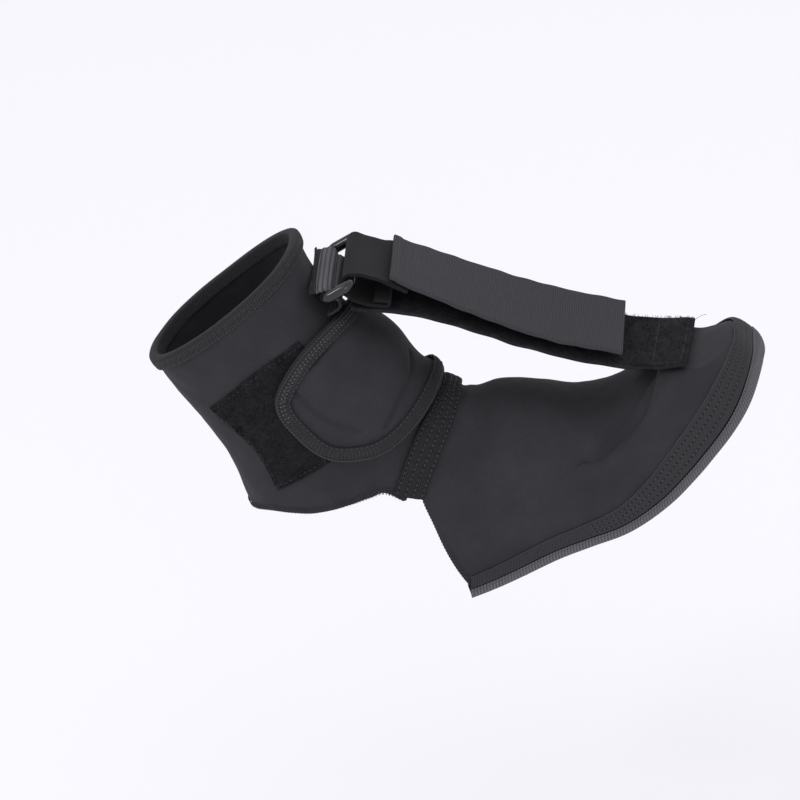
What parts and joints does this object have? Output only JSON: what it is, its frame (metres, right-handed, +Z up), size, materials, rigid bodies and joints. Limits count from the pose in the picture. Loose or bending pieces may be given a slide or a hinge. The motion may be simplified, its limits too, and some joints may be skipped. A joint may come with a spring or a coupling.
{
  "type": "dorsal night splint",
  "caption": "Black dorsal night splint: soft ankle cuff with a side flap, closed foot sleeve with a bound sole, and a strap from the toes through a ring on the cuff's front",
  "frame": {"origin": "the ankle seat, in the middle of the cuff's hollow where the leg bends into the foot", "axes": "+X toward the toes, +Y away from the side that the flap closes on, +Z up as worn in the picture"},
  "size_m": [0.2667, 0.0892, 0.1595],
  "materials": {
    "neoprene": "smooth black knit over soft foam, matt",
    "edging": "black overlocked cross-ribbed edging",
    "loop_pile": "black brushed loop pile, very matt",
    "webbing": "black fine-woven webbing with rows of stitches",
    "sole_cloth": "black close-woven sole cloth",
    "hook_webbing": "dark grey fine-ribbed webbing",
    "ring_plastic": "moulded black plastic, glossy"
  },
  "bodies": {
    "root": {"ankle_cuff": "neoprene", "cuff_top_binding": "edging", "loop_patch": "loop_pile", "closure_flap": "neoprene", "flap_binding": "edging", "foot_sleeve": "neoprene", "sole": "sole_cloth", "sole_tape": "webbing", "sole_binding": "edging", "instep_band": "webbing", "ring_keeper": "webbing", "buckle_ring": "ring_plastic", "loop_strap": "loop_pile", "smooth_strap": "neoprene", "hook_tab": "hook_webbing"}
  },
  "joints": []
}
